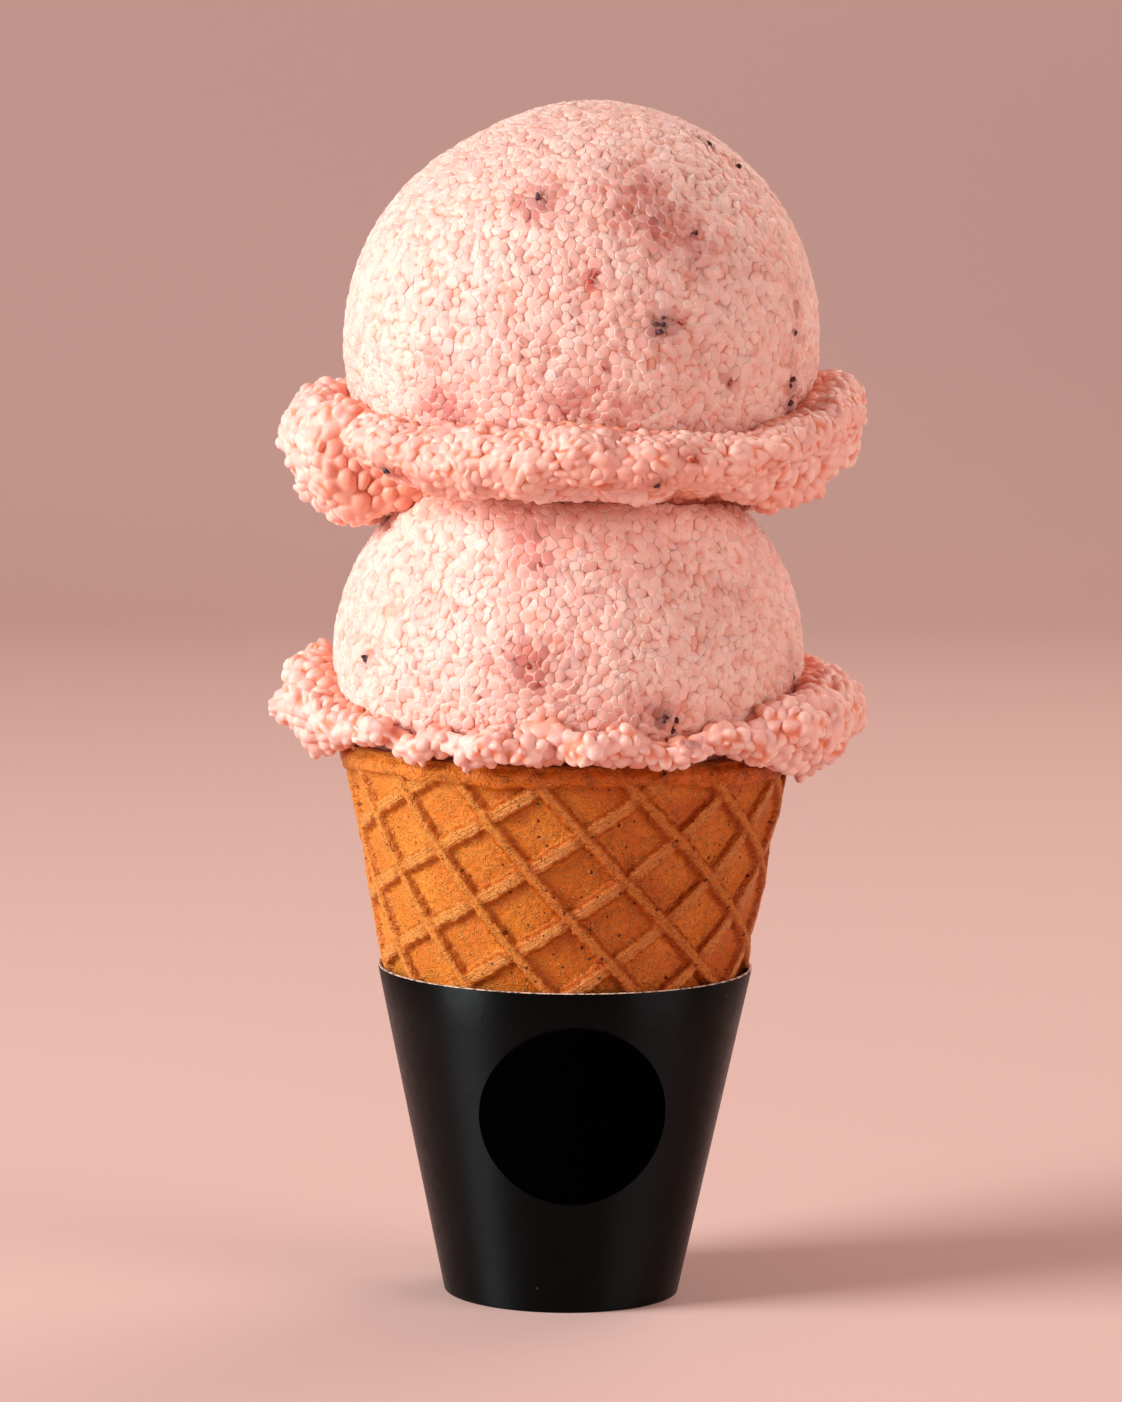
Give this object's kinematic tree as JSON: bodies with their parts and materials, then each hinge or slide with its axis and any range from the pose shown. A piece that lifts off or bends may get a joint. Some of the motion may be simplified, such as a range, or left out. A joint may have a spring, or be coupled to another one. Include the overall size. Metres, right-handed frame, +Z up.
{
  "type": "ice cream cone",
  "caption": "Double-scoop pink ice cream with rolled collars, on a waffle cone that stands in a black card sleeve with a bare round label.",
  "frame": {"origin": "centre of the flat face that the sleeve stands on, on the cone's axis", "axes": "+Z up along the cone's axis, -Y towards the front with the label, +X to the right seen from the front"},
  "size_m": [0.0784, 0.0748, 0.1573],
  "materials": {
    "sleeve_card": "satin",
    "label_paper": "matte",
    "waffle": "matte",
    "ice_cream": "satin"
  },
  "bodies": {
    "root": {"paper_sleeve": "sleeve_card", "round_label": "label_paper", "waffle_cone": "waffle", "lower_scoop": "ice_cream", "upper_scoop": "ice_cream"}
  },
  "joints": []
}
